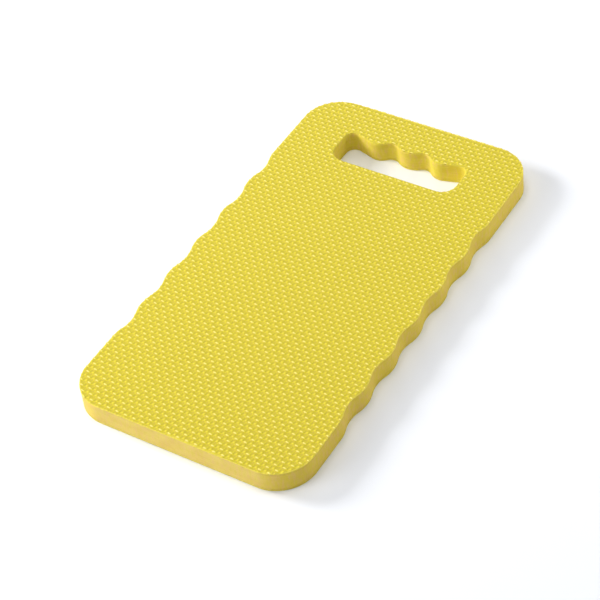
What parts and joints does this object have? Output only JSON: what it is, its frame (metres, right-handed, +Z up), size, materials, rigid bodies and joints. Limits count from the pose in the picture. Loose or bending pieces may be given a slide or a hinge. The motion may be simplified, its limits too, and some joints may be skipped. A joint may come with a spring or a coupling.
{
  "type": "kneeling pad",
  "caption": "Flat rectangular foam pad for kneeling on in the garden, with an embossed kneeling face, a hand slot with finger hollows through one end, and scalloped long sides.",
  "frame": {"origin": "middle of the underside, on the surface that the pad lies on", "axes": "+Z up, +Y along the pad towards the end with the hand slot, +X across the pad to the right of someone looking towards the hand slot from the plain end"},
  "size_m": [0.21, 0.4, 0.02],
  "materials": {
    "base_face": "matte closed-cell foam skin, dyed yellow",
    "cut_foam": "matte knife-cut closed-cell foam, dyed yellow",
    "embossed_face": "satin foam skin with a woven emboss, dyed yellow"
  },
  "bodies": {
    "root": {"base_skin": "base_face", "foam_core": "cut_foam", "top_skin": "embossed_face"}
  },
  "joints": []
}
